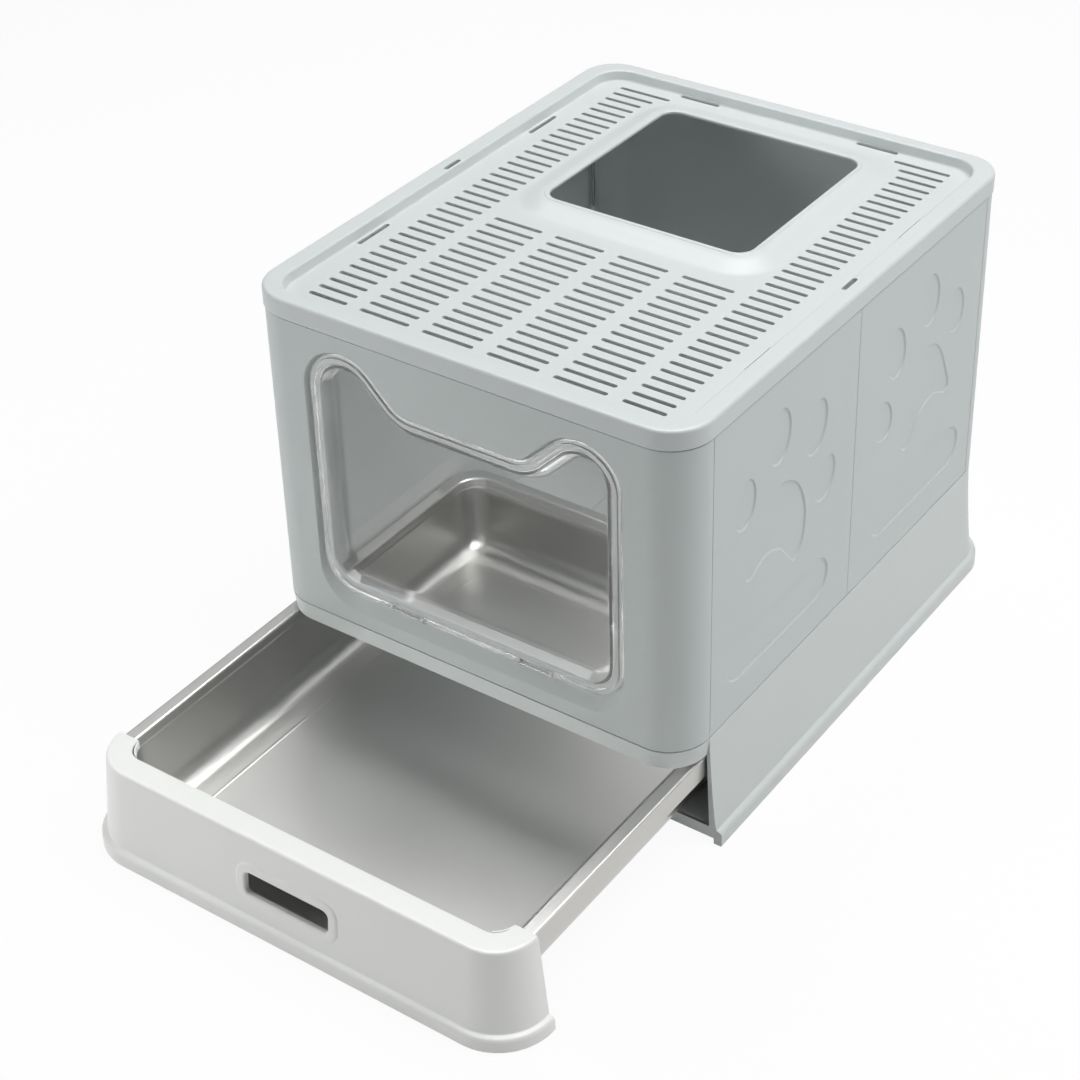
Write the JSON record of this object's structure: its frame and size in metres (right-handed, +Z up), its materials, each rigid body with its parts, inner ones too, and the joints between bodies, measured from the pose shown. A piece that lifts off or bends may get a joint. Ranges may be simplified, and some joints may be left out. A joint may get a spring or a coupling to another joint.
{
  "type": "covered litter box",
  "caption": "Covered cat litter box with folding walls, a lift-off slotted lid with a top opening, a clear flap in front and a pull-out steel pan.",
  "frame": {"origin": "on the ground under the middle of the model's box, with the drawer pulled out to its rest position", "axes": "+Z up, -Y towards the front that the drawer slides out of, +X to the right seen from the front"},
  "size_m": [0.41, 0.723, 0.3815],
  "materials": {
    "housing_plastic": "light grey moulded polypropylene",
    "wall_plastic": "light grey moulded polypropylene",
    "lid_plastic": "pale grey moulded polypropylene",
    "front_plastic": "off-white moulded polypropylene",
    "stainless": "satin stainless sheet",
    "clear_plastic": "clear moulded plastic",
    "pin_steel": "plain drawn steel"
  },
  "bodies": {
    "housing": {"base_housing": "housing_plastic", "front_panel": "wall_plastic", "rear_panel": "wall_plastic", "front_panel_pin_left": "pin_steel", "front_panel_pin_right": "pin_steel", "rear_panel_pin_left": "pin_steel", "rear_panel_pin_right": "pin_steel", "hinge_rod_front_left": "pin_steel", "hinge_rod_front_right": "pin_steel", "hinge_rod_rear_left": "pin_steel", "hinge_rod_rear_right": "pin_steel", "flap_pin_left": "pin_steel", "flap_pin_right": "pin_steel"},
    "wall_front_left": {"side_wall_front_left": "wall_plastic"},
    "wall_rear_left": {"side_wall_rear_left": "wall_plastic"},
    "wall_front_right": {"side_wall_front_right": "wall_plastic"},
    "wall_rear_right": {"side_wall_rear_right": "wall_plastic"},
    "lid": {"lid": "lid_plastic"},
    "flap": {"clear_flap": "clear_plastic"},
    "drawer": {"drawer_front": "front_plastic", "steel_pan": "stainless"}
  },
  "joints": [
    {"name": "drawer_slide", "type": "slide", "parent": "housing", "child": "drawer", "axis": [0, -1, 0], "range_m": [-0.219, 0.18]},
    {"name": "flap_hinge", "type": "hinge", "parent": "housing", "child": "flap", "pos_m": [0, -0.1267, 0.1302], "axis": [1, 0, 0], "range_deg": [0, 90]},
    {"name": "lid_lift", "type": "slide", "parent": "housing", "child": "lid", "axis": [0, 0, 1], "range_m": [0, 0.15]},
    {"name": "left_front_fold", "type": "hinge", "parent": "housing", "child": "wall_front_left", "pos_m": [-0.1858, -0.0945, 0.234], "axis": [0, 0, -1], "range_deg": [0, 90]},
    {"name": "left_rear_fold", "type": "hinge", "parent": "housing", "child": "wall_rear_left", "pos_m": [-0.1858, 0.3185, 0.234], "axis": [0, 0, 1], "range_deg": [0, 90]},
    {"name": "right_front_fold", "type": "hinge", "parent": "housing", "child": "wall_front_right", "pos_m": [0.1818, -0.0945, 0.234], "axis": [0, 0, 1], "range_deg": [0, 90]},
    {"name": "right_rear_fold", "type": "hinge", "parent": "housing", "child": "wall_rear_right", "pos_m": [0.1818, 0.3185, 0.234], "axis": [0, 0, -1], "range_deg": [0, 90]}
  ],
  "couplings": [
    {"joint": "left_rear_fold", "follows": "left_front_fold", "ratio": 1},
    {"joint": "right_rear_fold", "follows": "right_front_fold", "ratio": 1}
  ]
}
